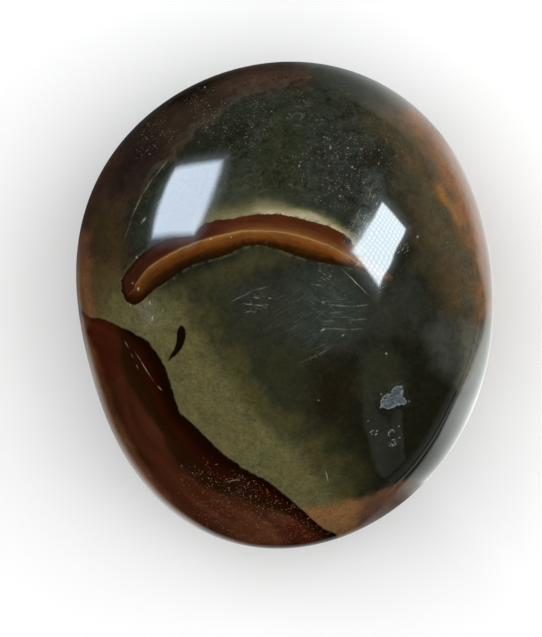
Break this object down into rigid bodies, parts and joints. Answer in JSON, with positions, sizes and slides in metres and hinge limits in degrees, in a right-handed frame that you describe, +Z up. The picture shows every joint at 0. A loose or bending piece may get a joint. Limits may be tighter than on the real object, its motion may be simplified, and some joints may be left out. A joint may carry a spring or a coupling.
{
  "type": "polished jasper pebble",
  "caption": "Polished jasper pebble, a lopsided flattened egg that lies broad face up on a small flat spot of its underside.",
  "frame": {"origin": "on the surface the pebble rests on, under the middle of its outline", "axes": "+Z up, out of the broad upper face; +Y along the length, towards the end that is up in the picture; +X across the width, towards the picture's right"},
  "size_m": [0.0514, 0.06, 0.036],
  "materials": {
    "jasper": "high polish; dark olive green with a mahogany brown side, a rust brown crescent band and a rust flank"
  },
  "bodies": {
    "root": {"pebble": "jasper"}
  },
  "joints": []
}
